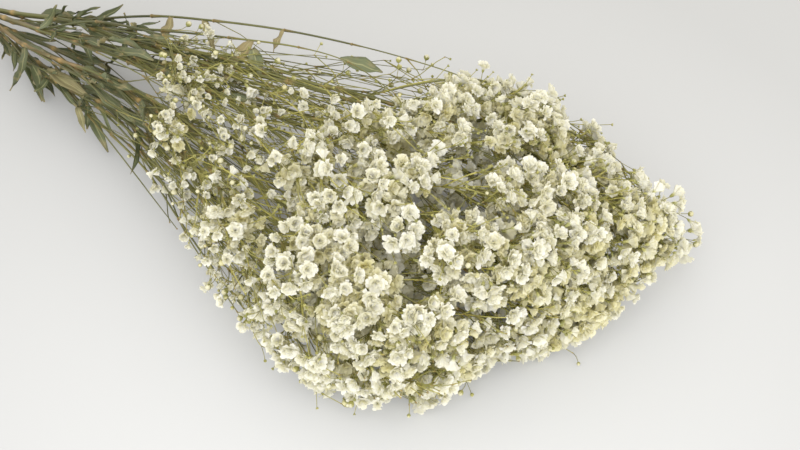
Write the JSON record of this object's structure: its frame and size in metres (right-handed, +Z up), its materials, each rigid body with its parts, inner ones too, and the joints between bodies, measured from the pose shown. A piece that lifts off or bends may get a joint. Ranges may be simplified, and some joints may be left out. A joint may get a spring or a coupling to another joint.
{
  "type": "dried gypsophila bunch",
  "caption": "Bunch of dried baby's breath laid down: thin branching stems in an elastic band fan out into a loose head of tiny ruffled flowers, to decorate a table or fill a vase.",
  "frame": {"origin": "on the surface the bunch lies on, under the middle of its bounding box", "axes": "+X along the bunch from the cut ends to the furthest flowers, +Y across the head, +Z up off the surface"},
  "size_m": [0.6488, 0.2334, 0.1188],
  "materials": {
    "dried_spray": "matte",
    "petals": "matte",
    "buds": "matte",
    "stems": "satin",
    "leaves": "matte",
    "elastic": "matte"
  },
  "bodies": {
    "root": {"stem_01": "dried_spray", "stem_02": "dried_spray", "stem_03": "dried_spray", "stem_04": "dried_spray", "stem_05": "dried_spray", "stem_06": "dried_spray", "stem_07": "dried_spray", "stem_08": "dried_spray", "stem_09": "dried_spray", "stem_10": "dried_spray", "elastic_band": "elastic"}
  },
  "joints": []
}
